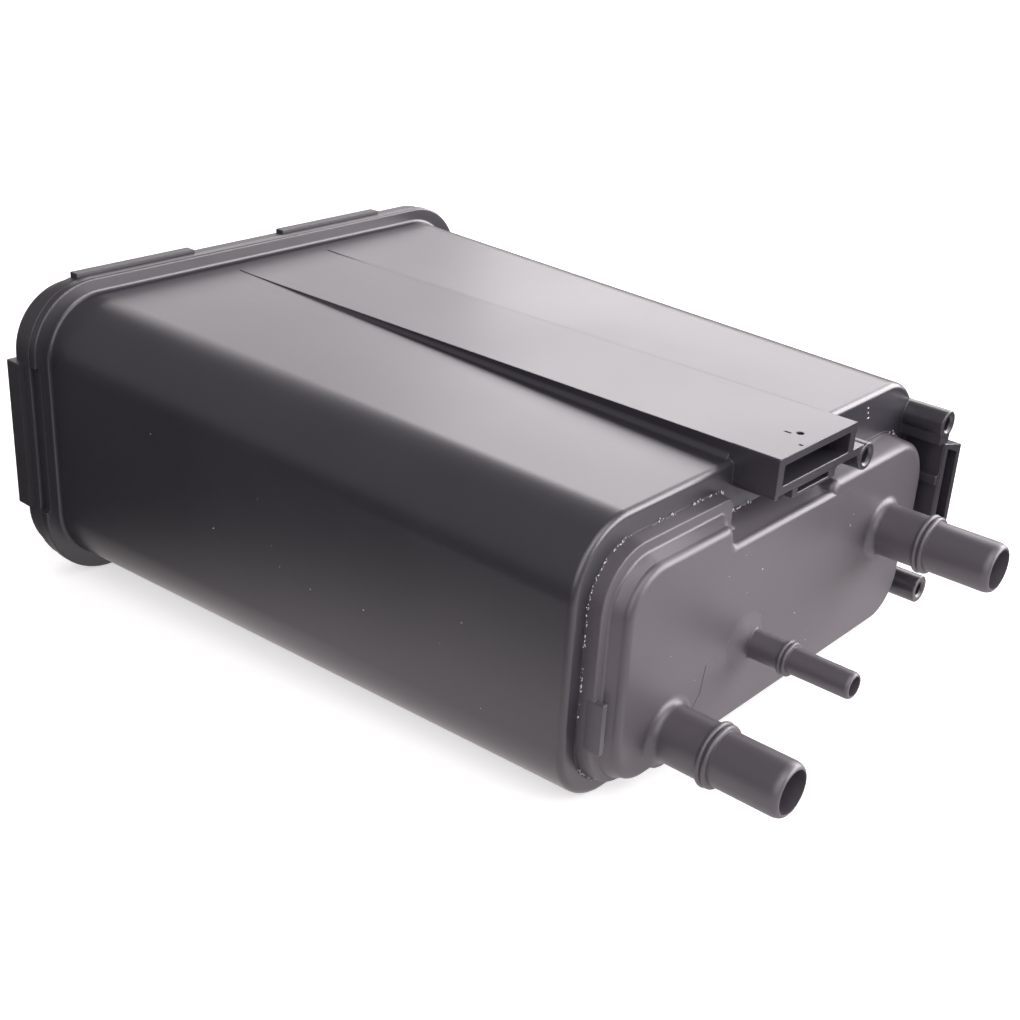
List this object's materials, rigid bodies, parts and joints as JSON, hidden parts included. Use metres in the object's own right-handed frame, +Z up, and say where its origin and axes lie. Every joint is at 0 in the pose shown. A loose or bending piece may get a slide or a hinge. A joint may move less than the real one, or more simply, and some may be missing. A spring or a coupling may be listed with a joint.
{
  "type": "fuel vapour charcoal canister",
  "caption": "Flat rounded plastic canister with a welded rear cover, a top rail ending in a bracket socket, and three hose stubs on its stepped front cap; it stores fuel vapour in two beds of charcoal.",
  "frame": {"origin": "middle of the underside of the whole part's box", "axes": "+X from the rear cover along the housing to the hose stubs, +Z up through the top rail, +Y to the side that carries the bracket channel"},
  "size_m": [0.2744, 0.1974, 0.1048],
  "materials": {
    "housing": "satin black glass-filled moulding",
    "cap": "satin black moulding, slightly finer and greyer",
    "cover": "satin black moulding",
    "inner_plastic": "dark grey moulding",
    "filter_pad": "needled felt and open foam",
    "carbon": "packed black granules",
    "spring_steel": "drawn spring wire"
  },
  "bodies": {
    "root": {"canister_housing": "housing", "port_cap": "cap", "rear_cover": "cover", "tank_support_grid": "inner_plastic", "air_support_grid": "inner_plastic", "tank_spring_plate": "inner_plastic", "air_spring_plate": "inner_plastic", "tank_front_filter_pad": "filter_pad", "air_front_filter_pad": "filter_pad", "tank_rear_filter_pad": "filter_pad", "air_rear_filter_pad": "filter_pad", "tank_carbon_bed": "carbon", "air_carbon_bed": "carbon", "tank_spring_1": "spring_steel", "tank_spring_2": "spring_steel", "tank_spring_3": "spring_steel", "tank_spring_4": "spring_steel", "air_spring_1": "spring_steel", "air_spring_2": "spring_steel"}
  },
  "joints": []
}
